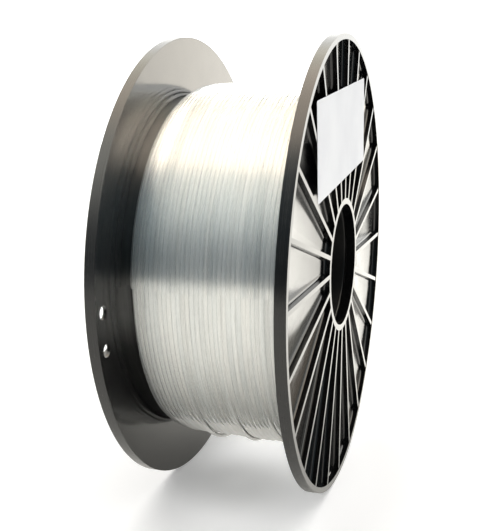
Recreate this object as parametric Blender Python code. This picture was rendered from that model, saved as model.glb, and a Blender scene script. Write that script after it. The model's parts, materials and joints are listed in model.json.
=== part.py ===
"""Ribbed plastic spool with a winding of clear line.

Frame: metres. The spool's axis is Y, the labelled face looks towards -Y, Z is up.
The origin is on the axis, half way between the two rim faces. The spool stands on
its two rims, so its lowest points are at about Z = -FLANGE_RADIUS.
Angles round the axis run from +X (0 degrees) to +Z (90 degrees).
"""

import math

import bmesh
import bpy
from mathutils import Matrix, Vector

# Overall sizes
FLANGE_RADIUS = 0.100       # outer radius of both flanges
SPOOL_WIDTH = 0.076         # rim face to rim face
RIM_HEIGHT = 0.0044         # flange thickness at its rim
GAP = 0.0003                # free space between neighbouring pieces
INNER_FACE = SPOOL_WIDTH / 2 - RIM_HEIGHT   # inner face of each flange, from mid width
CORE_HALF = INNER_FACE - GAP                # half length of drum, sleeve and winding

# Drum and bore sleeve
BORE_RADIUS = 0.0271
DRUM_RADIUS = 0.0450
DRUM_WALL = 0.0025
DRUM_BORE = DRUM_RADIUS - DRUM_WALL
DRUM_RING_INNER = 0.0300    # ring inside the drum that holds the bore sleeve
DRUM_RING_OUTER = 0.0320
DRUM_RING_SEGMENTS = 72
DRUM_WEBS = 8
DRUM_WEB_START = 0.25       # first web's angle, as a share of the web spacing
DRUM_WEB_THICKNESS = 0.0020
DRUM_WEB_SETBACK = 0.0036   # the webs stop short of the spigots
DRUM_WEB_OVERLAP = 0.0008   # how far the webs reach into the drum wall and the ring
SLEEVE_INNER = BORE_RADIUS + GAP
SLEEVE_OUTER = DRUM_RING_INNER - GAP
SLEEVE_CHAMFER = 0.0006
ANCHOR_HOLE_RADIUS = 0.0013
ANCHOR_DEG = 67.5
ANCHOR_Y = 0.0220
ANCHOR_CUT_REACH = 0.002    # how far the cutter passes each side of the drum wall
ANCHOR_HOLE_SIDES = 16

# Flange
WEB_THICKNESS = 0.0015      # disc between the ribs
RIM_WIDTH = 0.00245         # radial width of the rim ring
POCKET_RADIUS = FLANGE_RADIUS - RIM_WIDTH
RIB_COUNT = 24
RIB_SPACING = 2 * math.pi / RIB_COUNT
RIB_WIDTH = 0.0019
RIB_DROP = 0.0002           # rib and hub ring tops sit this far below the rim face
RIB_TOP = RIM_HEIGHT - RIB_DROP
ROOT_FILLET = 0.0009        # radius where the pocket walls meet the disc
FILLET_STEPS = 4
HUB_RING_RADIUS = 0.0297    # outer radius of the raised ring round the bore
SPIGOT_OUTER = DRUM_BORE - GAP      # ring inside each flange that centres the drum
SPIGOT_INNER = 0.0402
SPIGOT_LENGTH = 0.0030
RIM_CHORDS = 5              # chords per pocket at the rim
HUB_CHORDS = 3              # chords per pocket at the hub
RIM_STEPS = RIM_CHORDS + 1  # points per rib and pocket, with the rib's own chord
HUB_STEPS = HUB_CHORDS + 1
REAR_TURN_DEG = 15.55       # how far the rear flange is turned on the drum

# The rim's outside has even chords. This start, measured from a rib's middle,
# makes the chords of the two flanges line up.
RIM_CHORD_DEG = 360 / (RIB_COUNT * RIM_STEPS)
RIM_CHORD_START_DEG = (REAR_TURN_DEG % RIM_CHORD_DEG - RIM_CHORD_DEG) / 2

# Pair of line-end holes near the rim
HOLE_RADIUS = 0.00275
HOLE_CIRCLE = 0.0942
HOLE_CENTRE_DEG = 360 / RIB_COUNT / 2   # middle of the pocket that holds the pair
HOLE_SPREAD_DEG = 4.65      # each hole's angle from the middle of its pocket
HOLE_CUT_REACH = 0.003      # half length of the cutting rods
HOLE_SIDES = 20

# Wound line
LINE_RADIUS = 0.000875      # the line is 1.75 mm thick
WINDING_RADIUS = 0.0800     # at mid width
CROWN_DROP = 0.0003
CROWN_POWER = 2
SHOULDER_DROP = 0.0082      # how far the winding falls away at the labelled flange
SHOULDER_POWER = 14
REAR_SHOULDER_START = 0.0140    # from here to the rear flange the turns lie lower and lower
REAR_SHOULDER_DROP = 0.0080
REAR_SHOULDER_POWER = 4.2
# Places across the winding, as shares of its half width
WINDING_STATIONS = (
    -1.0, -0.98, -0.94, -0.88, -0.78, -0.5, 0.0, 0.5,
    0.6, 0.68, 0.76, 0.83, 0.89, 0.95, 1.0,
)

# Slack turns: (y, sag)
SLACK_TURNS = ((-0.0215, 0.0013), (-0.0060, 0.0009), (0.0105, 0.0016))
SLACK_CLEARANCE = 0.0001
SLACK_POINTS = 60

# Inner end of the line: straight through the drum wall, a quarter bend, then along the axis
TAIL_START_DEPTH = 0.0002   # below the drum's outside
TAIL_STRAIGHT = 0.0042
TAIL_STRAIGHT_STEPS = 4
TAIL_BEND_RADIUS = 0.0022
TAIL_BEND_STEPS = 8
TAIL_RUN_STEP = 0.0045
TAIL_RUN_STEPS = 4

# Outer end of the line, lying on the winding
FREE_END_STEPS = 30
FREE_END_START_DEG = -38
FREE_END_SWEEP_DEG = 74
FREE_END_Y = 0.0235
FREE_END_DRIFT = 0.0060     # shift towards the labelled flange, even along the line
FREE_END_EXTRA_DRIFT = 0.0020   # further shift that grows with the square of the way
FREE_END_CLEARANCE = 0.0002
FREE_END_LIFT = 0.0040      # how far the tip rises off the winding
FREE_END_LIFT_START = 0.72  # share of the way at which it starts to rise

# Label
LABEL_LENGTH = 0.0980
LABEL_HEIGHT = 0.0390
LABEL_THICKNESS = 0.00010
LABEL_CORNER = 0.0010
LABEL_CORNER_STEPS = 4
LABEL_LIFT = 0.00007        # clearance over the rib tops
LABEL_X = -0.0080
LABEL_Z = 0.0578
LABEL_TILT_DEG = 6.7

ROUND_SEGMENTS = 96         # turned pieces, unless they give their own number

for old in list(bpy.data.objects):
    bpy.data.objects.remove(old, do_unlink=True)


# --------------------------------------------------------------------- helpers
def material(name, colour, roughness, transmission=0.0, ior=1.5):
    made = bpy.data.materials.new(name)
    made.use_nodes = True
    inputs = made.node_tree.nodes["Principled BSDF"].inputs
    inputs["Base Color"].default_value = (*colour, 1.0)
    inputs["Roughness"].default_value = roughness
    inputs["Transmission Weight"].default_value = transmission
    inputs["IOR"].default_value = ior
    return made


def polar(radius, angle, y):
    """A point at this radius and angle round the Y axis."""
    return Vector((radius * math.cos(angle), y, radius * math.sin(angle)))


def even_angles(count):
    return [2 * math.pi * i / count for i in range(count)]


def circle(shape, radius, angles, y):
    return [shape.verts.new(polar(radius, angle, y)) for angle in angles]


def disc_ring(shape, centre, across, up, radius, sides):
    """A ring of points round a centre, in the plane of two unit vectors."""
    return [
        shape.verts.new(centre + (across * math.cos(angle) + up * math.sin(angle)) * radius)
        for angle in even_angles(sides)
    ]


def bridge(shape, first, second):
    """Quads between two closed rings with the same number of points."""
    count = len(first)
    for i in range(count):
        j = (i + 1) % count
        shape.faces.new((first[i], first[j], second[j], second[i]))


def skin(shape, rings, closed):
    """Joins rings in a row; the row closes on itself or gets a cap at each end."""
    for first, second in zip(rings, rings[1:]):
        bridge(shape, first, second)
    if closed:
        bridge(shape, rings[-1], rings[0])
    else:
        shape.faces.new(rings[0])
        shape.faces.new(list(reversed(rings[-1])))


def lathe(profile, segments=ROUND_SEGMENTS):
    """A closed (radius, y) profile turned round the Y axis."""
    shape = bmesh.new()
    angles = even_angles(segments)
    skin(shape, [circle(shape, radius, angles, y) for radius, y in profile], closed=True)
    return shape


def plain_tube(inner, outer, segments=ROUND_SEGMENTS):
    """A square-ended tube as long as the core."""
    corners = ((outer, -CORE_HALF), (outer, CORE_HALF), (inner, CORE_HALF), (inner, -CORE_HALF))
    return lathe(corners, segments)


def strand(points, sides, closed):
    """A length of line along a list of points, with its frame carried from point to point."""
    shape = bmesh.new()
    count = len(points)
    side = Vector((0, 1, 0))
    rings = []
    for i, point in enumerate(points):
        if closed:
            before, after = points[i - 1], points[(i + 1) % count]
        else:
            before, after = points[max(i - 1, 0)], points[min(i + 1, count - 1)]
        tangent = (after - before).normalized()
        side = (side - tangent * side.dot(tangent)).normalized()
        rings.append(disc_ring(shape, point, side, tangent.cross(side), LINE_RADIUS, sides))
    skin(shape, rings, closed)
    return shape


def place(mesh, name):
    obj = bpy.data.objects.new(name, mesh)
    bpy.context.scene.collection.objects.link(obj)
    return obj


def finish(shape, name, surface=None, sharp_deg=30.0):
    """Turns the bmesh into a named object with outward faces."""
    bmesh.ops.recalc_face_normals(shape, faces=shape.faces[:])
    mesh = bpy.data.meshes.new(name)
    shape.to_mesh(mesh)
    shape.free()
    mesh.shade_smooth()
    mesh.set_sharp_from_angle(angle=math.radians(sharp_deg))
    if surface is not None:
        mesh.materials.append(surface)
    return place(mesh, name)


def add_boolean(obj, shape, name, operation):
    """Makes a hidden helper, child of the object, and applies it as a Boolean modifier."""
    helper = finish(shape, name)
    helper.hide_render = True
    helper.display_type = "WIRE"
    helper.parent = obj
    modifier = obj.modifiers.new(operation.lower() + "_" + name, "BOOLEAN")
    modifier.operation = operation
    modifier.solver = "EXACT"
    modifier.object = helper


# --------------------------------------------------------------------- flanges
def rib_half_angle(radius, inset=0.0):
    """Angle from a rib's middle to its side, moved out by the inset, at this radius."""
    return math.asin((RIB_WIDTH / 2 + inset) / radius)


def pocket_angles(pocket, half, chords):
    """Even angles from one rib's side to the next rib's side, both included."""
    start, end = pocket * RIB_SPACING + half, (pocket + 1) * RIB_SPACING - half
    return [start + (end - start) * i / chords for i in range(chords + 1)]


def ring_angles(radius, chords):
    """Angles all round: each rib's low side, then its pocket from the rib's high side."""
    half = rib_half_angle(radius)
    found = []
    for rib in range(RIB_COUNT):
        found.append(rib * RIB_SPACING - half)
        found += pocket_angles(rib, half, chords)[:-1]
    return found


def pocket_rings(shape, pocket):
    """(outer edge, inner edge) pairs, from the foot of the walls through the fillet to the floor."""
    rings = []
    for step in range(FILLET_STEPS + 1):
        turn = math.pi / 2 * step / FILLET_STEPS
        inset = ROOT_FILLET * (1 - math.cos(turn))
        y = -(WEB_THICKNESS + ROOT_FILLET * (1 - math.sin(turn)))
        edges = []
        for radius, chords in (
            (POCKET_RADIUS - inset, RIM_CHORDS),
            (HUB_RING_RADIUS + inset, HUB_CHORDS),
        ):
            angles = pocket_angles(pocket, rib_half_angle(radius, inset), chords)
            edges.append(circle(shape, radius, angles, y))
        rings.append(edges)
    return rings


def flange_mesh():
    """One moulding: disc, rim ring, radial ribs, hub ring and drum spigot.

    Its inner face lies at y = 0 and its outer face looks towards -y.
    """
    shape = bmesh.new()
    rim_angles = ring_angles(POCKET_RADIUS, RIM_CHORDS)
    hub_angles = ring_angles(HUB_RING_RADIUS, HUB_CHORDS)
    rim_count, hub_count = len(rim_angles), len(hub_angles)
    chord_start = math.radians(RIM_CHORD_START_DEG)
    outside_angles = [chord_start + angle for angle in even_angles(rim_count)]

    rim_low = circle(shape, FLANGE_RADIUS, outside_angles, 0.0)
    rim_top = circle(shape, FLANGE_RADIUS, outside_angles, -RIM_HEIGHT)
    lip = circle(shape, POCKET_RADIUS, rim_angles, -RIM_HEIGHT)
    bridge(shape, rim_low, rim_top)
    bridge(shape, rim_top, lip)

    # From the hub ring's outer edge over its top, down the bore and round the spigot.
    hub_rings = [
        circle(shape, radius, hub_angles, y)
        for radius, y in (
            (HUB_RING_RADIUS, -RIB_TOP),
            (BORE_RADIUS, -RIB_TOP),
            (BORE_RADIUS, 0.0),
            (SPIGOT_INNER, 0.0),
            (SPIGOT_INNER, SPIGOT_LENGTH),
            (SPIGOT_OUTER, SPIGOT_LENGTH),
            (SPIGOT_OUTER, 0.0),
        )
    ]
    for first, second in zip(hub_rings, hub_rings[1:]):
        bridge(shape, first, second)
    hub_top, spigot_foot = hub_rings[0], hub_rings[-1]

    # Low and high side of each rib, where its top meets the rim wall.
    half = rib_half_angle(POCKET_RADIUS)
    rib_ends = [
        circle(shape, POCKET_RADIUS, (rib * RIB_SPACING - half, rib * RIB_SPACING + half), -RIB_TOP)
        for rib in range(RIB_COUNT)
    ]
    for rib in range(RIB_COUNT):
        # This rib and the pocket after it, up to and including the next rib's low side.
        lip_part = [lip[(rib * RIM_STEPS + j) % rim_count] for j in range(RIM_STEPS + 1)]
        rim_part = [rim_low[(rib * RIM_STEPS + j) % rim_count] for j in range(RIM_STEPS + 1)]
        hub_part = [hub_top[(rib * HUB_STEPS + j) % hub_count] for j in range(HUB_STEPS + 1)]
        spigot_part = [
            spigot_foot[(rib * HUB_STEPS + j) % hub_count] for j in range(HUB_STEPS + 1)
        ]
        low, high = rib_ends[rib]
        next_low = rib_ends[(rib + 1) % RIB_COUNT][0]
        shape.faces.new((lip_part[0], lip_part[1], high, low))
        shape.faces.new((low, high, hub_part[1], hub_part[0]))

        rings = pocket_rings(shape, rib)
        foot_out, foot_in = rings[0]
        shape.faces.new((high, foot_out[0], foot_in[0], hub_part[1]))
        shape.faces.new((next_low, hub_part[-1], foot_in[-1], foot_out[-1]))
        for j in range(RIM_CHORDS):
            wall = [lip_part[j + 1], lip_part[j + 2]]
            if j == RIM_CHORDS - 1:
                wall.append(next_low)
            wall += [foot_out[j + 1], foot_out[j]]
            if j == 0:
                wall.append(high)
            shape.faces.new(wall)
        for j in range(HUB_CHORDS):
            shape.faces.new((hub_part[j + 1], hub_part[j + 2], foot_in[j + 1], foot_in[j]))

        loops = [outer + inner[::-1] for outer, inner in rings]
        for first, second in zip(loops, loops[1:]):
            bridge(shape, first, second)
        shape.faces.new(loops[-1])                      # pocket floor
        shape.faces.new(rim_part + spigot_part[::-1])   # disc's inner face
    return shape


def hole_rods():
    """Two short rods that make the pair of line-end holes."""
    shape = bmesh.new()
    for side in (-1, 1):
        angle = math.radians(HOLE_CENTRE_DEG + side * HOLE_SPREAD_DEG)
        rings = []
        for reach in (-HOLE_CUT_REACH, HOLE_CUT_REACH):
            centre = polar(HOLE_CIRCLE, angle, reach - WEB_THICKNESS / 2)
            across, up = Vector((1, 0, 0)), Vector((0, 0, 1))
            rings.append(disc_ring(shape, centre, across, up, HOLE_RADIUS, HOLE_SIDES))
        skin(shape, rings, closed=False)
    return shape


def build_flanges(surface):
    front = finish(flange_mesh(), "front_flange", surface)
    front.location = (0, -INNER_FACE, 0)
    add_boolean(front, hole_rods(), "front_hole_cutter", "DIFFERENCE")

    # The same moulding, turned to face the other way and pressed on at its own angle.
    rear = place(front.data, "rear_flange")
    rear.matrix_world = (
        Matrix.Translation((0, INNER_FACE, 0))
        @ Matrix.Rotation(-math.radians(REAR_TURN_DEG), 4, "Y")
        @ Matrix.Rotation(math.pi, 4, "Z")
    )
    add_boolean(rear, hole_rods(), "rear_hole_cutter", "DIFFERENCE")


# ------------------------------------------------------------- drum and sleeve
def drum_webs():
    """Radial webs that join the drum wall to the sleeve ring."""
    shape = bmesh.new()
    width = 2 * (CORE_HALF - DRUM_WEB_SETBACK)
    low, high = DRUM_RING_OUTER - DRUM_WEB_OVERLAP, DRUM_BORE + DRUM_WEB_OVERLAP
    for web in range(DRUM_WEBS):
        box = bmesh.ops.create_cube(shape, size=1.0)["verts"]
        angle = 2 * math.pi * (web + DRUM_WEB_START) / DRUM_WEBS
        matrix = (
            Matrix.Rotation(-angle, 4, "Y")
            @ Matrix.Translation(((low + high) / 2, 0, 0))
            @ Matrix.Diagonal((high - low, width, DRUM_WEB_THICKNESS, 1.0))
        )
        bmesh.ops.transform(shape, matrix=matrix, verts=box)
    return shape


def anchor_rod():
    """A radial rod that makes the line's anchor hole in the drum wall."""
    shape = bmesh.new()
    angle = math.radians(ANCHOR_DEG)
    across = Vector((0, 1, 0))
    up = polar(1.0, angle, 0).cross(across)
    rings = []
    for radius in (DRUM_BORE - ANCHOR_CUT_REACH, DRUM_RADIUS + ANCHOR_CUT_REACH):
        centre = polar(radius, angle, ANCHOR_Y)
        rings.append(disc_ring(shape, centre, across, up, ANCHOR_HOLE_RADIUS, ANCHOR_HOLE_SIDES))
    skin(shape, rings, closed=False)
    return shape


def build_drum(surface):
    drum = finish(plain_tube(DRUM_BORE, DRUM_RADIUS), "core_drum", surface)
    ring = plain_tube(DRUM_RING_INNER, DRUM_RING_OUTER, DRUM_RING_SEGMENTS)
    add_boolean(drum, ring, "drum_ring_helper", "UNION")
    add_boolean(drum, drum_webs(), "drum_web_helper", "UNION")
    add_boolean(drum, anchor_rod(), "anchor_hole_cutter", "DIFFERENCE")


def build_sleeve(surface):
    """Tube round the bore, chamfered inside at both ends."""
    profile = (
        (SLEEVE_OUTER, -CORE_HALF),
        (SLEEVE_OUTER, CORE_HALF),
        (SLEEVE_INNER + SLEEVE_CHAMFER, CORE_HALF),
        (SLEEVE_INNER, CORE_HALF - SLEEVE_CHAMFER),
        (SLEEVE_INNER, -CORE_HALF + SLEEVE_CHAMFER),
        (SLEEVE_INNER + SLEEVE_CHAMFER, -CORE_HALF),
    )
    finish(lathe(profile), "bore_sleeve", surface)


# ------------------------------------------------------------------------ line
def winding_radius(y):
    """Outer radius of the wound line at this distance from mid width."""
    share = min(abs(y) / CORE_HALF, 1.0)
    radius = WINDING_RADIUS - CROWN_DROP * share ** CROWN_POWER
    if y > 0:
        past_start = min(y, CORE_HALF) - REAR_SHOULDER_START
        fall = max(0.0, past_start / (CORE_HALF - REAR_SHOULDER_START))
        return radius - REAR_SHOULDER_DROP * fall ** REAR_SHOULDER_POWER
    return radius - SHOULDER_DROP * share ** SHOULDER_POWER


def build_winding(surface):
    inside = DRUM_RADIUS + GAP
    profile = [(inside, CORE_HALF), (inside, -CORE_HALF)]
    for station in WINDING_STATIONS:
        y = station * CORE_HALF
        profile.append((winding_radius(y), y))
    finish(lathe(profile), "line_winding", surface, sharp_deg=40.0)


def build_slack_turns(surface):
    """Loops a little larger than the winding that hang down under it."""
    for number, (y, sag) in enumerate(SLACK_TURNS, start=1):
        radius = WINDING_RADIUS + GAP + LINE_RADIUS + sag + SLACK_CLEARANCE
        drop = Vector((0, 0, sag))
        loop = [polar(radius, angle, y) - drop for angle in even_angles(SLACK_POINTS)]
        turn = strand(loop, sides=6, closed=True)
        finish(turn, f"line_slack_turn_{number}", surface, sharp_deg=60.0)


def build_start_tail(surface):
    """The line's inner end: in through the anchor hole, then bent towards -Y in the hollow."""
    bend_depth = TAIL_START_DEPTH + TAIL_STRAIGHT
    run_depth = bend_depth + TAIL_BEND_RADIUS
    path = []                   # (depth below the drum's outside, distance towards -Y)
    for i in range(TAIL_STRAIGHT_STEPS + 1):
        path.append((TAIL_START_DEPTH + TAIL_STRAIGHT * i / TAIL_STRAIGHT_STEPS, 0.0))
    for i in range(1, TAIL_BEND_STEPS + 1):
        turn = math.pi / 2 * i / TAIL_BEND_STEPS
        depth = bend_depth + TAIL_BEND_RADIUS * math.sin(turn)
        path.append((depth, TAIL_BEND_RADIUS * (1 - math.cos(turn))))
    for i in range(1, TAIL_RUN_STEPS + 1):
        path.append((run_depth, TAIL_BEND_RADIUS + TAIL_RUN_STEP * i))
    angle = math.radians(ANCHOR_DEG)
    points = [polar(DRUM_RADIUS - depth, angle, ANCHOR_Y - along) for depth, along in path]
    tail = strand(points, sides=10, closed=False)
    finish(tail, "line_start_tail", surface, sharp_deg=60.0)


def build_free_end(surface):
    """The line's outer end, on the +X side of the rear half; its tip lifts off the winding."""
    points = []
    for i in range(FREE_END_STEPS + 1):
        share = i / FREE_END_STEPS
        rise = max(0.0, (share - FREE_END_LIFT_START) / (1 - FREE_END_LIFT_START))
        lift = FREE_END_CLEARANCE + FREE_END_LIFT * rise ** 2
        y = FREE_END_Y - FREE_END_DRIFT * share - FREE_END_EXTRA_DRIFT * share ** 2
        radius = winding_radius(y) + GAP + LINE_RADIUS + lift
        angle = math.radians(FREE_END_START_DEG + FREE_END_SWEEP_DEG * share)
        points.append(polar(radius, angle, y))
    free_end = strand(points, sides=8, closed=False)
    finish(free_end, "line_free_end", surface, sharp_deg=60.0)


# ----------------------------------------------------------------------- label
def build_label(surface):
    """A thin rectangle with slightly rounded corners, standing just over the rib tops."""
    shape = bmesh.new()
    outline = []
    for side_x, side_z, first_deg in ((1, 1, 0), (-1, 1, 90), (-1, -1, 180), (1, -1, 270)):
        centre_x = side_x * (LABEL_LENGTH / 2 - LABEL_CORNER)
        centre_z = side_z * (LABEL_HEIGHT / 2 - LABEL_CORNER)
        for i in range(LABEL_CORNER_STEPS + 1):
            angle = math.radians(first_deg + 90 * i / LABEL_CORNER_STEPS)
            outline.append((
                centre_x + LABEL_CORNER * math.cos(angle),
                centre_z + LABEL_CORNER * math.sin(angle),
            ))
    rings = [[shape.verts.new((x, y, z)) for x, z in outline] for y in (0.0, -LABEL_THICKNESS)]
    skin(shape, rings, closed=False)
    label = finish(shape, "paper_label", surface)
    label.location = (LABEL_X, -(INNER_FACE + RIB_TOP + LABEL_LIFT), LABEL_Z)
    label.rotation_euler = (0, -math.radians(LABEL_TILT_DEG), 0)


# ----------------------------------------------------------------------- build
black = material("black_moulded_plastic", colour=(0.012, 0.012, 0.013), roughness=0.16)
core_black = material("core_plastic", colour=(0.018, 0.018, 0.019), roughness=0.35)
clear = material(
    "clear_line", colour=(0.86, 0.88, 0.87), roughness=0.08, transmission=0.85, ior=1.52
)
paper = material("label_paper", colour=(0.86, 0.87, 0.88), roughness=0.55)

build_flanges(black)
build_drum(core_black)
build_sleeve(core_black)
build_winding(clear)
build_slack_turns(clear)
build_start_tail(clear)
build_free_end(clear)
build_label(paper)
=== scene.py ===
"""A spool of clear line lying on its rims: two black flanges, a drum, the wound line, a paper label.

The spool's axis is Y through the origin and +Z is up. The labelled front flange is at -Y and the
rear flange at +Y. The camera stands on the -X side, a little towards the label.
"""

import json
import math

import bmesh
import bpy
import numpy as np
from mathutils import Matrix, Vector

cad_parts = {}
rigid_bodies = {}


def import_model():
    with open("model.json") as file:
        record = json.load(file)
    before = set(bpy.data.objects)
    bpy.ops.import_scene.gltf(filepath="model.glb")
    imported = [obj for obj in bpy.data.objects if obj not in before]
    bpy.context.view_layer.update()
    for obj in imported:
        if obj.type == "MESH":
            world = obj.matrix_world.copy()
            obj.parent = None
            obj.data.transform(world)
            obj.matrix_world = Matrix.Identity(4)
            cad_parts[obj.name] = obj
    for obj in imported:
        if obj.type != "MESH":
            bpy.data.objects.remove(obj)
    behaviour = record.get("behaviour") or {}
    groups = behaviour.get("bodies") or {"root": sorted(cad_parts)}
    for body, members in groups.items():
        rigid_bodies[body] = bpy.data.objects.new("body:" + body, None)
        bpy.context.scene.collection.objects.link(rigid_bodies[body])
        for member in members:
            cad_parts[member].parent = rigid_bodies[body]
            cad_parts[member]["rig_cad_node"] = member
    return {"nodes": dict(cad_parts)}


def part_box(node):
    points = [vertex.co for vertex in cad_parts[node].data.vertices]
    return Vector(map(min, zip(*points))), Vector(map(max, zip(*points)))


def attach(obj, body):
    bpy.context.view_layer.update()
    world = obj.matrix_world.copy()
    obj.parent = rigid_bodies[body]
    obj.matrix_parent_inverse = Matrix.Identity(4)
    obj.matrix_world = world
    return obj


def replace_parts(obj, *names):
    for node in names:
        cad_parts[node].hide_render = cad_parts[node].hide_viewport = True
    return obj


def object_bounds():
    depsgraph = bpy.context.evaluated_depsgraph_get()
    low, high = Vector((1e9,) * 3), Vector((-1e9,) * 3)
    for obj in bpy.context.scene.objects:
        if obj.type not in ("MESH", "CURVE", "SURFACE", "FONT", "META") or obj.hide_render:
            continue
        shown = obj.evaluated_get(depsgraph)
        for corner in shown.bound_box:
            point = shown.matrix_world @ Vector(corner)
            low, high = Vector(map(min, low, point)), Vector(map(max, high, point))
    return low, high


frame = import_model()
cad_low, cad_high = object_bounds()
nodes = frame["nodes"]
scene = bpy.context.scene
BODY = "root"

# ---------------------------------------------------------------- sizes (metres)
# Read from the CAD
FLANGE_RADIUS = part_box("front_flange")[1].x
DRUM_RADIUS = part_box("core_drum")[1].x
winding_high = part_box("line_winding")[1]
WINDING_RADIUS = winding_high.x        # at mid width
HALF_WIDTH = winding_high.y            # half the width of the winding along Y
FLOOR_Z = cad_low.z

FLANGE_EDGE = 0.00022                  # radius of the moulded edges
CORE_EDGE = 0.00025

STRAND_RADIUS = 0.000875
STRAND_SIDES = 14
TURN_PITCH = 1.85e-3
TURN_SPAN = HALF_WIDTH - STRAND_RADIUS * 1.15      # the turns lie between -TURN_SPAN and TURN_SPAN
SLACK_TURNS = ((-0.0200, 0.0014), (-0.0040, 0.0021), (0.0130, 0.0026))    # (y, sag below the coil)


# ---------------------------------------------------------------- node helpers
class Shading:
    """Short ways to add nodes to an emptied node tree; most return the new node's output socket."""

    def __init__(self, tree):
        self.tree = tree
        tree.nodes.clear()

    def add(self, kind, inputs=None, **settings):
        """A node of this kind; inputs maps a socket's name or index to a value or an output."""
        node = self.tree.nodes.new("ShaderNode" + kind)
        for key, value in settings.items():
            setattr(node, key, value)
        for key, value in (inputs or {}).items():
            if isinstance(value, bpy.types.NodeSocket):
                self.tree.links.new(value, node.inputs[key])
            else:
                node.inputs[key].default_value = value
        return node

    def math(self, operation, a, b=0.0):
        return self.add("Math", {0: a, 1: b, 2: 0.0}, operation=operation).outputs[0]

    def plus(self, a, b):
        return self.math("ADD", a, b)

    def minus(self, a, b):
        return self.math("SUBTRACT", a, b)

    def times(self, a, b):
        return self.math("MULTIPLY", a, b)

    def length(self, a, b):
        return self.math("SQRT", self.plus(self.times(a, a), self.times(b, b)))

    def ramp(self, value, over, to=(0.0, 1.0)):
        """Eases from to[0] to to[1] while value goes from over[0] to over[1]."""
        inputs = dict(enumerate((value, *over, *to)))
        return self.add("MapRange", inputs, interpolation_type="SMOOTHSTEP").outputs[0]

    def mix(self, factor, a, b):
        return self.add("Mix", {0: factor, 6: a, 7: b}, data_type="RGBA").outputs[2]

    def lean(self, share, a, b):
        """Unit direction that leans from vector a towards vector b by this share."""
        blend = self.add("Mix", {0: share, 4: a, 5: b}, data_type="VECTOR").outputs[1]
        return self.unit(blend)

    def unit(self, vector):
        return self.add("VectorMath", {0: vector}, operation="NORMALIZE").outputs[0]

    def noise(self, vector, scale, detail=3.0, rough=0.5):
        inputs = {"Vector": vector, "Scale": scale, "Detail": detail, "Roughness": rough}
        return self.add("TexNoise", inputs).outputs["Fac"]

    def combine(self, x, y, z):
        return self.add("CombineXYZ", {0: x, 1: y, 2: z}).outputs[0]

    def split(self, vector):
        return self.add("SeparateXYZ", {0: vector}).outputs

    def object_coord(self):
        return self.add("TexCoord").outputs["Object"]

    def angle(self, x, z):
        """Angle round the spool's axis."""
        return self.math("ARCTAN2", z, x)

    def streaks(self, angle, y, per_radian, per_metre, third=0.0, detail=3.0, rough=0.5):
        """Noise stretched over the angle and the axis; third picks another slice of it."""
        place = self.combine(self.times(angle, per_radian), self.times(y, per_metre), third)
        return self.noise(place, scale=1.0, detail=detail, rough=rough)

    def bump(self, strength, distance, height, **others):
        inputs = {"Strength": strength, "Distance": distance, "Height": height, **others}
        return self.add("Bump", inputs).outputs[0]

    def light_path(self, name):
        return self.add("LightPath").outputs[name]

    def principled(self, inputs):
        return self.add("BsdfPrincipled", inputs).outputs[0]

    def surface(self, shader):
        self.add("OutputMaterial", {"Surface": shader})


def rgb(red, green, blue):
    return (red, green, blue, 1.0)


def new_material(name):
    made = bpy.data.materials.new(name)
    made.use_nodes = True
    return made, Shading(made.node_tree)


# ---------------------------------------------------------------- plastic
def flange_plastic():
    """Glossy black moulded plastic with flow marks, rubbing and turned streaks on the rim."""
    made, tree = new_material("flange_black_plastic")
    coord = tree.object_coord()
    x, y, z = tree.split(coord)
    angle = tree.angle(x, z)
    radius = tree.length(x, z)
    # Streaks that run round the rim: fast across the rim, slow along it.
    turned = tree.streaks(angle, y, per_radian=1.6, per_metre=5200.0, detail=4.0, rough=0.6)
    on_rim = tree.ramp(radius, over=(FLANGE_RADIUS - 0.0006, FLANGE_RADIUS - 0.0002))
    grain = tree.noise(coord, scale=900.0, rough=0.55)
    flow_place = tree.combine(tree.times(radius, 30.0), tree.times(angle, 4.0), y)
    flow = tree.noise(flow_place, scale=3.0)
    rub = tree.noise(coord, scale=60.0, detail=5.0, rough=0.65)

    rubbed = tree.ramp(rub, over=(0.35, 0.75))
    base = tree.mix(rubbed, rgb(0.0022, 0.0022, 0.0024), rgb(0.0042, 0.0041, 0.0040))
    streaked = tree.times(on_rim, tree.ramp(turned, over=(0.45, 0.75), to=(0.0, 0.7)))
    base = tree.mix(streaked, base, rgb(0.014, 0.013, 0.012))
    rough = tree.plus(0.105, tree.ramp(flow, over=(0.3, 0.7), to=(0.0, 0.05)))
    rim_rough = tree.times(on_rim, tree.ramp(turned, over=(0.3, 0.7), to=(0.06, 0.16)))
    rough = tree.plus(rough, rim_rough)
    rim_height = tree.times(tree.times(on_rim, turned), 1.3)
    height = tree.plus(tree.times(grain, 0.25), rim_height)
    tree.surface(tree.principled({
        "Base Color": base,
        "Roughness": rough,
        "IOR": 1.50,
        "Normal": tree.bump(strength=0.10, distance=0.00006, height=height),
    }))
    return made


def core_plastic():
    """Satin black plastic of the drum and the bore sleeve."""
    made, tree = new_material("core_black_plastic")
    coord = tree.object_coord()
    x, y, z = tree.split(coord)
    grain = tree.noise(coord, scale=1400.0, rough=0.6)
    drawn = tree.streaks(tree.angle(x, z), y, per_radian=60.0, per_metre=25.0)
    tone = tree.ramp(drawn, over=(0.3, 0.7))
    tree.surface(tree.principled({
        "Base Color": tree.mix(tone, rgb(0.0020, 0.0020, 0.0021), rgb(0.0040, 0.0039, 0.0038)),
        "Roughness": tree.ramp(grain, over=(0.2, 0.8), to=(0.34, 0.46)),
        "IOR": 1.48,
        "Normal": tree.bump(strength=0.15, distance=0.00005, height=grain),
    }))
    return made


# ---------------------------------------------------------------- line
def drawn_streaks(tree, angle, y, radius):
    """Fine drawn streaks inside each turn."""
    third = tree.times(radius, 900.0)
    return tree.streaks(angle, y, per_radian=4.0, per_metre=1900.0, third=third, detail=2.0,
                        rough=0.6)


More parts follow.
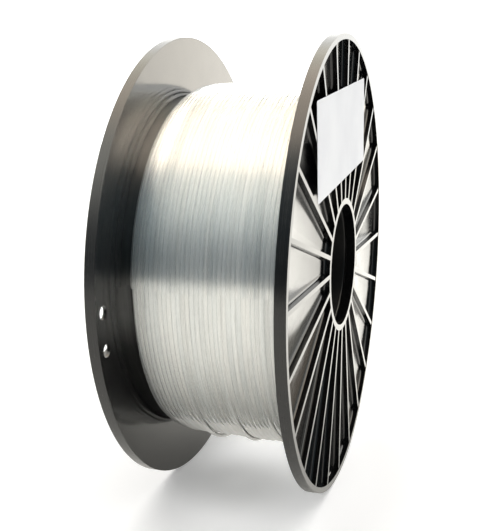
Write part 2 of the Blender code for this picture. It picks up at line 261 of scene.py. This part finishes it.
def shade_coil(tree, colour, y, z, radius):
    """Painted shade: darkens the top of the coil, and the low rear turns where the flange mirrors
    them.
    """
    # Painted shade on the crown: the top faces the overhead light, so its colour is darkened towards
    # the top.
    painted_crown_shade = tree.ramp(tree.math("DIVIDE", z, radius), over=(0.30, 0.80), to=(1.0, 0.60))
    crown = tree.math("MAXIMUM", painted_crown_shade, tree.ramp(y, over=(0.014, 0.024)))
    colour = tree.mix(crown, rgb(0.0, 0.0, 0.0), colour)
    # Painted shade, seen by reflection only: the low turns beside the rear flange are darkened.
    low_down = tree.ramp(tree.math("DIVIDE", z, radius), over=(-0.42, -0.12), to=(1.0, 0.0))
    beside = tree.times(tree.ramp(y, over=(0.008, 0.020)), low_down)
    reflected = tree.math("MINIMUM", tree.light_path("Glossy Depth"), 1.0)
    beside = tree.times(beside, reflected)
    return tree.mix(tree.times(beside, 0.80), colour, rgb(0.0, 0.0, 0.0))


def line_material(name, tint_low, tint_high, clear, metallic, rough):
    """Clear drawn line wound side by side.

    The bundle throws light back the way brushed metal does: sharp along the turns, spread out
    across them. Each strand adds a thin bright line, and lets the turns below show through.
    """
    made, tree = new_material(name)
    x, y, z = tree.split(tree.object_coord())
    angle = tree.angle(x, z)
    radius = tree.length(x, z)
    outward = tree.unit(tree.combine(x, 0.0, z))
    strand = tree.add("NewGeometry").outputs["Normal"]
    # The shading follows the bundle's own outward direction more than the single strand's.
    facing = tree.lean(0.93, strand, outward)

    # One value per turn, one per group of turns, and the streaks inside each turn.
    per_turn = tree.streaks(angle, y, per_radian=1.1, per_metre=480.0, detail=2.0)
    drawn = drawn_streaks(tree, angle, y, radius)
    group = tree.streaks(angle, y, per_radian=0.8, per_metre=150.0, third=31.0, detail=1.0)
    finer = tree.plus(tree.times(drawn, 0.34), tree.times(group, 0.28))
    tone = tree.plus(tree.times(per_turn, 0.38), finer)
    colour = tree.mix(tree.ramp(tone, over=(0.37, 0.58)), tint_low, tint_high)
    # Painted shade: turns close to the rear flange are darkened a little towards black.
    shade = tree.ramp(y, over=(HALF_WIDTH - 0.016, HALF_WIDTH - 0.001), to=(1.0, 0.96))
    colour = tree.mix(shade, rgb(0.02, 0.02, 0.02), colour)
    colour = shade_coil(tree, colour, y, z, radius)
    body = tree.principled({
        "Base Color": colour,
        "Roughness": rough,
        "IOR": 1.52,
        "Normal": tree.bump(strength=0.10, distance=0.00006, height=drawn, Normal=facing),
        "Metallic": metallic,
        "Anisotropic": 0.95,
        "Tangent": tree.combine(0.0, 1.0, 0.0),
        "Coat Weight": 0.18,
        "Coat Roughness": 0.07,
        "Coat IOR": 1.50,
    })

    see_through = tree.add("BsdfTransparent", {"Color": rgb(0.95, 0.965, 0.965)}).outputs[0]
    # Part of the room's light passes right through the coil and reaches the floor.
    passing = tree.times(tree.light_path("Is Shadow Ray"), 0.82)
    clear_turn = tree.times(clear, tree.ramp(per_turn, over=(0.25, 0.75), to=(0.75, 1.25)))
    share = tree.math("MAXIMUM", clear_turn, passing)
    tree.surface(tree.add("MixShader", {0: share, 1: body, 2: see_through}).outputs[0])
    return made


def glass_line(sheen):
    """The outermost strands: clear lenses under a share of the bundle's sheen."""
    made, tree = new_material("line_glass")
    x, y, z = tree.split(tree.object_coord())
    angle = tree.angle(x, z)
    radius = tree.length(x, z)
    drawn = drawn_streaks(tree, angle, y, radius)
    per_turn = tree.streaks(angle, y, per_radian=0.9, per_metre=560.0, third=7.0, detail=1.0)
    tint = tree.streaks(angle, y, per_radian=0.7, per_metre=330.0, third=19.0, detail=1.0)
    outward = tree.unit(tree.combine(x, 0.0, z))
    strand = tree.add("NewGeometry").outputs["Normal"]

    # Pressed together, the strands bend light far less at their flanks than free ones would.
    dot = tree.add("VectorMath", {0: strand, 1: outward}, operation="DOT_PRODUCT")
    side = tree.math("SIGN", dot.outputs["Value"])
    signs = tree.combine(side, side, side)
    same_side = tree.add("VectorMath", {0: outward, 1: signs}, operation="MULTIPLY").outputs[0]
    pressed = tree.lean(0.62, strand, same_side)
    lens = tree.principled({
        "Base Color": rgb(0.995, 0.998, 0.992),
        "Roughness": 0.09,
        "IOR": 1.07,
        "Normal": tree.bump(strength=0.10, distance=0.00006, height=drawn, Normal=pressed),
        "Transmission Weight": 1.0,
    })

    warmth = tree.ramp(tint, over=(0.35, 0.65))
    colour = tree.mix(warmth, rgb(0.90, 0.94, 0.945), rgb(1.0, 0.99, 0.96))
    lightness = tree.ramp(per_turn, over=(0.30, 0.70), to=(0.55, 1.0))
    colour = tree.mix(lightness, rgb(0.60, 0.62, 0.62), colour)
    # Painted highlights: a few turns are painted white, standing in for bright glints.
    colour = tree.mix(tree.ramp(per_turn, over=(0.66, 0.74)), colour, rgb(1.0, 1.0, 1.0))
    body = tree.principled({
        "Base Color": shade_coil(tree, colour, y, z, radius),
        "Roughness": 0.36,
        "IOR": 1.52,
        "Normal": tree.lean(0.92, strand, outward),
        "Metallic": 0.91,
        "Anisotropic": 0.95,
        "Tangent": tree.combine(0.0, 1.0, 0.0),
    })
    tree.surface(tree.add("MixShader", {0: sheen, 1: lens, 2: body}).outputs[0])
    return made


def label_paper():
    """Matt, slightly cloudy white paper."""
    made, tree = new_material("label_paper")
    coord = tree.object_coord()
    fibre = tree.noise(coord, scale=2600.0, detail=4.0, rough=0.7)
    cloud = tree.ramp(tree.noise(coord, scale=45.0), over=(0.3, 0.7))
    tree.surface(tree.principled({
        "Base Color": tree.mix(cloud, rgb(0.80, 0.81, 0.83), rgb(0.85, 0.86, 0.875)),
        "Roughness": tree.ramp(fibre, over=(0.3, 0.7), to=(0.80, 0.95)),
        "IOR": 1.45,
        "Normal": tree.bump(strength=0.25, distance=0.00002, height=fibre),
        "Specular IOR Level": 0.12,
    }))
    return made


BLACK = flange_plastic()
CORE = core_plastic()
LINE_OUTER = line_material(
    "line_clear_outer",
    tint_low=rgb(0.60, 0.615, 0.615),
    tint_high=rgb(0.76, 0.765, 0.755),
    clear=0.28,
    metallic=0.62,
    rough=0.40,
)
LINE_DEEP = line_material(
    "line_clear_deep",
    tint_low=rgb(0.70, 0.71, 0.70),
    tint_high=rgb(1.0, 0.995, 0.975),
    clear=0.0,
    metallic=0.92,
    rough=0.36,
)
PAPER = label_paper()
GLASS = glass_line(sheen=0.22)


# ---------------------------------------------------------------- CAD parts that stay
def dress(obj, surface):
    """Gives a CAD part its material, and smooth shading over welded vertices."""
    mesh = obj.data
    mesh.materials.clear()
    mesh.materials.append(surface)
    if "custom_normal" in mesh.attributes:
        mesh.attributes.remove(mesh.attributes["custom_normal"])
    mesh.shade_smooth()
    weld = obj.modifiers.new("weld", "WELD")
    weld.merge_threshold = 2e-7


def round_edges(obj, width):
    bevel = obj.modifiers.new("edge_radius", "BEVEL")
    bevel.width = width
    bevel.segments = 3
    bevel.limit_method = "ANGLE"
    bevel.angle_limit = math.radians(28.0)
    bevel.harden_normals = True
    bevel.miter_outer = "MITER_SHARP"
    bevel.use_clamp_overlap = True


for name, surface, edge in (
    ("front_flange", BLACK, FLANGE_EDGE),
    ("rear_flange", BLACK, FLANGE_EDGE),
    ("core_drum", CORE, CORE_EDGE),
    ("bore_sleeve", CORE, CORE_EDGE),
):
    dress(nodes[name], surface)
    round_edges(nodes[name], edge)


# ---------------------------------------------------------------- mesh helpers
def mesh_object(name, verts, quads, surface, slot):
    """A smooth-shaded object made of quads."""
    mesh = bpy.data.meshes.new(name)
    verts = np.asarray(verts, np.float32)
    quads = np.asarray(quads, np.int32)
    mesh.vertices.add(len(verts))
    mesh.vertices.foreach_set("co", verts.ravel())
    mesh.loops.add(quads.size)
    mesh.loops.foreach_set("vertex_index", quads.ravel())
    mesh.polygons.add(len(quads))
    mesh.polygons.foreach_set("loop_start", np.arange(0, quads.size, 4, dtype=np.int32))
    mesh.update(calc_edges=True)
    mesh.shade_smooth()
    mesh.materials.append(surface)
    obj = bpy.data.objects.new(name, mesh)
    scene.collection.objects.link(obj)
    return obj


def around_axis(radius, angle, y):
    """Points at this radius and angle round the Y axis."""
    return np.stack([radius * np.cos(angle), y, radius * np.sin(angle)], -1)


def ring_quads(rings, sides, closed):
    """Quads that join each ring of vertices to the next, and the last to the first if closed."""
    ring = np.arange(rings if closed else rings - 1)[:, None]
    side = np.arange(sides)[None, :]
    here, there = ring * sides, (ring + 1) % rings * sides
    beside = (side + 1) % sides
    corners = (here + side, here + beside, there + beside, there + side)
    return np.stack(np.broadcast_arrays(*corners), -1).reshape(-1, 4)


def sweep(points, radius, closed):
    """Vertices and quads of a round strand along points; open ends are capped with quads."""
    sides = STRAND_SIDES
    count = len(points)
    if closed:
        tangent = np.roll(points, -1, 0) - np.roll(points, 1, 0)
    else:
        tangent = np.gradient(points, axis=0)
    tangent /= np.linalg.norm(tangent, axis=1)[:, None]
    radial = points * np.array([1.0, 0.0, 1.0])
    radial -= (radial * tangent).sum(1)[:, None] * tangent
    radial /= np.linalg.norm(radial, axis=1)[:, None]
    side = np.cross(tangent, radial)
    turn = 2 * np.pi * np.arange(sides) / sides
    verts = points[:, None] + radius * (
        np.cos(turn)[None, :, None] * radial[:, None] + np.sin(turn)[None, :, None] * side[:, None]
    )
    quads = ring_quads(count, sides, closed)
    if not closed:
        caps = []
        for base, order in ((0, -1), ((count - 1) * sides, 1)):
            for first in range(1, sides - 2, 2):
                cap = [base, base + first, base + first + 1, base + first + 2]
                caps.append(cap[::order])
        quads = np.concatenate([quads, np.array(caps)])
    return verts.reshape(-1, 3), quads[:, ::-1]


# ---------------------------------------------------------------- winding
def envelope(y, angle=0.0):
    """Outer radius of the wound line; the rear shoulder is rounder at the top than below."""
    y = np.asarray(y, float)
    outness = np.clip(np.abs(y) / HALF_WIDTH, 0, 1)
    high = 0.5 + 0.5 * np.sin(angle)                # 0 at the bottom, 1 at the top
    begin = 0.0120 + 0.0040 * high                  # y where the rear shoulder starts to drop
    part = np.clip((y - begin) / (HALF_WIDTH - begin), 0, 1)
    rear_drop = 0.0080 * part ** (6.0 - 2.8 * high)
    front_drop = 0.0082 * outness**14
    return WINDING_RADIUS - 0.0003 * outness**2 - np.where(y > 0, rear_drop, front_drop)


def smooth_noise(theta, seeds, harmonics=4):
    """A smooth function of theta; seeds holds a cosine and a sine weight for each harmonic."""
    total = np.zeros_like(theta)
    for h in range(1, harmonics + 1):
        total += (seeds[2 * h - 2] * np.cos(h * theta) + seeds[2 * h - 1] * np.sin(h * theta)) / h
    return total


def layer_path(wander, lift, per_turn, seed, gaps, sag):
    """One layer of turns laid side by side as a single strand, each drifting from its neighbour.

    wander and lift scale the drift along Y and outwards, per_turn is the points in one turn, gaps
    are the places left open for one more turn, and sag is how far the turns hang off the coil.
    Returns the points, and (turn start, turn width) for each gap.
    """
    rng = np.random.default_rng(seed)
    width = 2 * TURN_SPAN
    turns = int(width / TURN_PITCH) - len(gaps)
    steps = rng.normal(TURN_PITCH, 0.045 * TURN_PITCH, turns + 2)
    steps = np.clip(steps, 2 * STRAND_RADIUS * 0.985, None)
    places = []
    for gap in gaps:
        reached = np.cumsum(steps[:turns]) * width / steps[:turns].sum() - TURN_SPAN
        found = int(np.argmin(np.abs(reached - gap)))
        steps[found] *= 2.0
        places.append(found)
    steps *= width / steps[: turns + 1].sum()
    turn_y = -TURN_SPAN + np.concatenate([[0], np.cumsum(steps)])

    drift = rng.normal(0, 1, (turns + 3, 8))
    # Neighbouring turns share most of their drift.
    for row in range(1, turns + 3):
        drift[row] = 0.82 * drift[row - 1] + 0.57 * drift[row]
    rise = rng.normal(0, 1, (turns + 3, 8))
    hang = rng.uniform(0.25, 1.0, turns + 3)

    travelled = np.arange(turns * per_turn + 1) / per_turn       # in turns
    turn = np.minimum(np.floor(travelled).astype(int), turns - 1)
    part = travelled - turn
    theta = 2 * np.pi * travelled

    def between(here, there):
        return here * (1 - part) + there * part

    def drifted(seeds):
        return between(*(smooth_noise(theta, seeds[turn + ahead].T) for ahead in (0, 1)))

    y = between(turn_y[turn], turn_y[turn + 1]) + wander * drifted(drift)
    limit = HALF_WIDTH - STRAND_RADIUS * 1.05
    y = np.clip(y, -limit, limit)
    angle = theta + math.pi
    radius = envelope(y, angle) - STRAND_RADIUS + lift * drifted(rise)
    low = np.clip(-np.sin(angle), 0, None) ** 2.4
    fade = np.clip((HALF_WIDTH - np.abs(y)) / 0.009, 0, 1)       # no sag against the flanges
    radius += sag * low * fade * between(hang[turn], hang[turn + 1])
    return around_axis(radius, angle, y), [(turn_y[place], steps[place]) for place in places]


def inner_body():
    """The turns below the outermost layer: one ring with the shallow ridges of its turns."""
    steps_per_ridge = 6
    segments = 180
    count = int(2 * TURN_SPAN / TURN_PITCH) * steps_per_ridge
    profile = []                                     # (radius, y)
    for i in range(count + 1):
        y = -HALF_WIDTH + 2 * HALF_WIDTH * i / count
        bulge = abs(math.sin(math.pi * (y + HALF_WIDTH) / TURN_PITCH))
        below = 2 * STRAND_RADIUS * 1.03
        profile.append((float(envelope(y)) - below - STRAND_RADIUS * 0.10 * (1 - bulge), y))
    foot = DRUM_RADIUS + 0.0003
    profile += [(foot, HALF_WIDTH), (foot, -HALF_WIDTH)]

    ring = np.array(profile)
    angle = 2 * np.pi * np.arange(segments)[:, None] / segments
    wave = 0.00010 * np.sin(3 * angle + 0.5) + 0.00006 * np.sin(7 * angle)
    # Only the outer surface waves; the foot on the drum stays round.
    radius = ring[None, :, 0]
    radius = radius + np.where(radius > DRUM_RADIUS + 0.001, wave, 0.0)
    verts = around_axis(radius, angle, np.broadcast_to(ring[None, :, 1], radius.shape))
    return verts.reshape(-1, 3), ring_quads(segments, len(profile), closed=True)


def slack_loop(y_start, width, sag, seed):
    """A slack turn: it fills a gap in the outer layer and hangs clear of the coil at the bottom."""
    rng = np.random.default_rng(seed)
    points = 240
    crossing = 0.30                  # half angle of the crossing, on the +X side
    angle = 2 * np.pi * np.arange(points) / points
    part = ((angle - math.pi) / (2 * np.pi)) % 1.0
    step = width / 2
    y = y_start + np.where(part < 0.5, step * (1 + 1.5 * part), step * (1.5 * part - 0.5))
    # Over the crossing the turn steps across its neighbour.
    wrapped = (angle + np.pi) % (2 * np.pi) - np.pi
    across = 0.5 - 0.5 * np.sin(np.clip(wrapped / crossing, -1, 1) * np.pi / 2)
    y = np.where(np.abs(wrapped) < crossing, y_start + step * (0.25 + 1.5 * across), y)
    low = np.clip(-np.sin(angle - 0.06), 0, None) ** 2.0
    y += 0.00012 * smooth_noise(angle, rng.normal(0, 1, 8), 3) + 0.0005 * low
    radius = envelope(y) - STRAND_RADIUS + 0.00012 + sag * low
    radius += 2 * STRAND_RADIUS * np.exp(-((wrapped / 0.22) ** 2))
    return around_axis(radius, angle, y)


outer_path, open_places = layer_path(
    wander=0.00005,
    lift=0.00003,
    per_turn=144,
    seed=3,
    gaps=[y for y, _ in SLACK_TURNS],
    sag=0.0011,
)
outer_mesh = sweep(outer_path, STRAND_RADIUS * 1.05, closed=False)
outer_turns = mesh_object("line_outer_turns", *outer_mesh, GLASS, "clear_line")
mesh_object("line_inner_turns", *inner_body(), LINE_DEEP, "clear_line")
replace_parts(outer_turns, "line_winding")
# The clear turns throw no hard shadow of their own: light goes through them into the coil.
outer_turns.visible_shadow = False

for number, ((y_start, width), (_, sag)) in enumerate(zip(open_places, SLACK_TURNS), start=1):
    loop = slack_loop(y_start, width, sag, seed=40 + number)
    loop_mesh = sweep(loop, STRAND_RADIUS * 1.02, closed=True)
    piece = mesh_object(f"line_loose_turn_{number}", *loop_mesh, GLASS, "clear_line")
    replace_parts(piece, f"line_slack_turn_{number}")
    piece.visible_shadow = False

# The ends of the line keep their CAD shape.
for name in ("line_start_tail", "line_free_end"):
    dress(nodes[name], LINE_OUTER)


# ---------------------------------------------------------------- label
def label_piece():
    """Thin paper stuck on the flange's rib tops: it dips very slightly between the ribs."""
    columns, rows = 150, 60
    corner = 0.0010                  # corner radius
    rib_pitch = math.pi / 12
    dip_depth = 0.000072             # between two ribs
    ripple_depth = 0.000015

    cad = np.array([vertex.co for vertex in nodes["paper_label"].data.vertices], float)
    centre = (cad.min(0) + cad.max(0)) / 2
    flat = cad[:, [0, 2]] - centre[[0, 2]]

    def extents(tilt):
        """Length and height of the label in a frame tilted by this angle."""
        along = flat @ np.array([math.cos(tilt), math.sin(tilt)])
        across = flat @ np.array([-math.sin(tilt), math.cos(tilt)])
        return np.ptp(along), np.ptp(across)

    # The label's tilt is the one whose upright box is smallest, within 15 degrees of level.
    tilts = [math.radians(step * 0.05) for step in range(-300, 301)]
    tilt = min(tilts, key=lambda angle: np.prod(extents(angle)))
    length, height = extents(tilt)
    cos_tilt, sin_tilt = math.cos(tilt), math.sin(tilt)

    def place(along, across, y):
        # Pull the four corners in to a small radius.
        past_along = abs(along) - (length / 2 - corner)
        past_across = abs(across) - (height / 2 - corner)
        if past_along > 0 and past_across > 0:
            pull = max(past_along, past_across) / math.hypot(past_along, past_across)
            along = math.copysign(length / 2 - corner + past_along * pull, along)
            across = math.copysign(height / 2 - corner + past_across * pull, across)
        x = centre[0] + along * cos_tilt - across * sin_tilt
        z = centre[2] + along * sin_tilt + across * cos_tilt
        # 0 on a rib, 1 midway between two
        off_rib = abs(((math.atan2(z, x) / rib_pitch + 0.5) % 1.0) - 0.5) * 2
        dip = dip_depth * math.sin(math.pi / 2 * off_rib) ** 2
        ripple = ripple_depth * math.sin(along * 70) * math.cos(across * 110 + along * 30)
        return x, y + dip + ripple, z

    verts = [
        place(along, across, y)
        for y in (cad[:, 1].min(), cad[:, 1].max())              # front face, then back face
        for along in np.linspace(-length / 2, length / 2, columns)
        for across in np.linspace(-height / 2, height / 2, rows)
    ]
    back = columns * rows                            # index of the back face's first vertex
    quads = []
    for i in range(columns - 1):
        for j in range(rows - 1):
            a = i * rows + j
            b = a + rows
            quads.append((a, b, b + 1, a + 1))
            quads.append((back + a, back + a + 1, back + b + 1, back + b))
    outline = [i * rows for i in range(columns)]
    outline += [(columns - 1) * rows + j for j in range(1, rows)]
    outline += [i * rows + rows - 1 for i in range(columns - 2, -1, -1)]
    outline += list(range(rows - 2, 0, -1))
    for a, b in zip(outline, outline[1:] + outline[:1]):
        quads.append((a, back + a, back + b, b))
    obj = mesh_object("label_sheet", verts, quads, PAPER, "label_paper")
    obj.data.set_sharp_from_angle(angle=math.radians(40))
    return obj


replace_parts(label_piece(), "paper_label")

for piece in list(scene.objects):
    if piece.type == "MESH" and "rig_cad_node" not in piece:
        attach(piece, BODY)

# ---------------------------------------------------------------- floor
FLOOR_X, FLOOR_Y = 1.35, 0.42          # centre of the round floor


def floor_material():
    """White floor that glows a little: painted light and painted shadow shape the light under the
    spool and what the glossy parts mirror.
    """
    made, tree = new_material("floor_white")
    x, y, _ = tree.split(tree.object_coord())
    mirrored = tree.light_path("Is Glossy Ray")

    def around(centre, half_axes):
        """Distance from a place on the floor: 1 on the ellipse with these half axes."""
        off_x = tree.math("DIVIDE", tree.minus(x, centre[0] - FLOOR_X), half_axes[0])
        off_y = tree.math("DIVIDE", tree.minus(y, centre[1] - FLOOR_Y), half_axes[1])
        return tree.length(off_x, off_y)

    # Painted reflection: seen only in the glossy parts, the +X side of the floor glows brighter than
    # the camera's side.
    painted_bright_side = tree.ramp(x, over=(-1.37, -1.13))
    # Painted light: a glowing pool between the flanges, standing in for light that comes down
    # through the clear coil.
    spread = around(centre=(0.025, 0.002), half_axes=(0.130, 0.048))
    painted_light_pool = tree.ramp(spread, over=(0.10, 1.0), to=(0.19, 0.0))
    painted_light_pool = tree.times(painted_light_pool, tree.ramp(mirrored, over=(0.0, 1.0), to=(1.0, 0.75)))
    # Painted reflection: seen only in the glossy parts, the floor glows brighter away from the
    # spool.
    painted_glow_outside = tree.ramp(spread, over=(0.8, 1.7), to=(0.0, 0.20))
    mirrored_glow = tree.plus(tree.times(painted_bright_side, 0.96), painted_glow_outside)
    # Painted shadow, seen directly only: deepest beside the line where the flanges stand, with a
    # painted lift of glow around it.
    halo_place = around(centre=(-0.010, -0.012), half_axes=(0.085, 0.055))
    painted_lift = tree.ramp(halo_place, over=(0.55, 1.0), to=(0.12, 0.0))
    core_place = around(centre=(-0.024, 0.005), half_axes=(0.040, 0.038))
    painted_shadow_core = tree.ramp(core_place, over=(0.2, 1.0), to=(0.24, 0.0))
    direct = tree.ramp(mirrored, over=(0.0, 1.0), to=(1.0, 0.0))
    shadow = tree.times(tree.minus(painted_lift, painted_shadow_core), direct)
    # The floor's own glow: an even 0.20 plus the painted pool of light and the painted shadow.
    own = tree.plus(tree.plus(painted_light_pool, 0.20), shadow)
    # Painted reflection: seen in the glossy parts the floor is warmer, and glows by the painted
    # masks above.
    tree.surface(tree.principled({
        "Base Color": tree.mix(mirrored, rgb(0.88, 0.88, 0.88), rgb(0.88, 0.87, 0.83)),
        "Roughness": 0.6,
        "Emission Color": tree.mix(mirrored, rgb(1.0, 1.0, 1.0), rgb(1.0, 0.975, 0.90)),
        "Emission Strength": tree.plus(tree.times(mirrored, mirrored_glow), own),
    }))
    return made


def floor_piece():
    disc = bmesh.new()
    bmesh.ops.create_circle(disc, cap_ends=True, segments=160, radius=2.3)
    mesh = bpy.data.meshes.new("floor")
    disc.to_mesh(mesh)
    disc.free()
    obj = bpy.data.objects.new("floor", mesh)
    obj.location = (FLOOR_X, FLOOR_Y, FLOOR_Z - 0.00005)
    scene.collection.objects.link(obj)
    mesh.materials.append(floor_material())


floor_piece()


# ---------------------------------------------------------------- world
def studio_world():
    """One sky for the camera, one for what glossy parts mirror, one to light the matt parts."""
    world = bpy.data.worlds.new("studio")
    scene.world = world
    world.use_nodes = True
    tree = Shading(world.node_tree)
    x, y, z = tree.split(tree.add("TexCoord").outputs["Generated"])
    level = tree.math("MAXIMUM", tree.length(x, y), 0.001)
    elevation = tree.times(tree.math("ARCSINE", z), 180 / math.pi)      # degrees

    def toward(azimuth):
        """Cosine of the level angle to this azimuth (0 is -Y, the label side; 90 is +X)."""
        turn = math.radians(azimuth)
        along = tree.plus(tree.times(x, math.sin(turn)), tree.times(y, -math.cos(turn)))
        return tree.math("DIVIDE", along, level)

    def sector(azimuth, outer, inner):
        """1 within inner degrees of this azimuth, fading to 0 at outer degrees."""
        edges = (math.cos(math.radians(outer)), math.cos(math.radians(inner)))
        return tree.ramp(toward(azimuth), over=edges)

    def by_elevation(over, below, above):
        return tree.mix(tree.ramp(elevation, over=over), below, above)

    def under(over):
        """1 below these elevations, 0 above them."""
        return tree.minus(1.0, tree.ramp(elevation, over=over))

    # Mirrored: a bright room, brightest overhead, with a low strip and an unlit camera side.
    far_side = by_elevation((34.0, 50.0), rgb(2.5, 2.5, 2.42), rgb(3.7, 3.5, 2.95))
    near_side = by_elevation((8.0, 46.0), rgb(1.10, 1.12, 1.12), rgb(3.8, 3.75, 3.4))
    room = tree.mix(tree.ramp(toward(100.0), over=(-0.5, 0.5)), near_side, far_side)
    room = by_elevation((54.0, 66.0), room, rgb(5.0, 4.35, 3.6))
    strip = tree.times(sector(64.0, outer=14.0, inner=5.0), under((7.0, 16.0)))
    room = tree.mix(strip, room, rgb(4.2, 4.0, 3.6))
    dark = tree.times(sector(-70.0, outer=56.0, inner=45.0), under((58.0, 78.0)))
    unlit = by_elevation((2.0, 42.0), rgb(0.085, 0.126, 0.149), rgb(0.30, 0.388, 0.428))
    unlit = by_elevation((40.0, 68.0), unlit, rgb(0.84, 0.83, 0.79))
    mirror = tree.mix(dark, room, unlit)

    # Lighting: broad and soft from the +X side and above, little from the camera's side.
    behind = tree.times(tree.plus(toward(85.0), 1.0), 0.5)
    behind = tree.math("POWER", behind, 1.8)
    side = tree.mix(behind, rgb(0.34, 0.345, 0.35), rgb(1.16, 1.145, 1.12))
    soft = by_elevation((34.0, 72.0), side, rgb(2.30, 2.27, 2.22))

    rays = tree.add("LightPath").outputs
    sharp = tree.math("MAXIMUM", rays["Is Glossy Ray"], rays["Is Transmission Ray"])
    seen = tree.mix(sharp, soft, mirror)
    seen = tree.mix(rays["Is Camera Ray"], seen, rgb(2.0, 2.0, 2.0))
    background = tree.add("Background", {"Color": seen, "Strength": 1.0}).outputs[0]
    tree.add("OutputWorld", {"Surface": background})


studio_world()

scene.view_settings.view_transform = "Standard"
scene.view_settings.look = "None"
scene.view_settings.exposure = 0.0
scene.view_settings.gamma = 1.0


# ---------------------------------------------------------------- camera
def aim_camera(azimuth, elevation, distance, target):
    """Looks at target from this azimuth (0 is -Y, -90 is -X) and elevation, in degrees."""
    data = bpy.data.cameras.new("camera")
    camera = bpy.data.objects.new("camera", data)
    scene.collection.objects.link(camera)
    scene.camera = camera
    turn, rise = math.radians(azimuth), math.radians(elevation)
    back = Vector((
        math.sin(turn) * math.cos(rise),
        -math.cos(turn) * math.cos(rise),
        math.sin(rise),
    ))
    right = Vector((math.cos(turn), math.sin(turn), 0))
    rotation = Matrix((right, back.cross(right), back)).transposed().to_4x4()
    camera.matrix_world = Matrix.Translation(target + back * distance) @ rotation
    data.sensor_width = 36.0
    data.lens = 56.201356
    data.clip_start = 0.01
    data.clip_end = 50.0


aim_camera(
    azimuth=-71.767,
    elevation=10.785,
    distance=0.38748,
    target=Vector((0.0, 0.01123, -0.00343)),
)
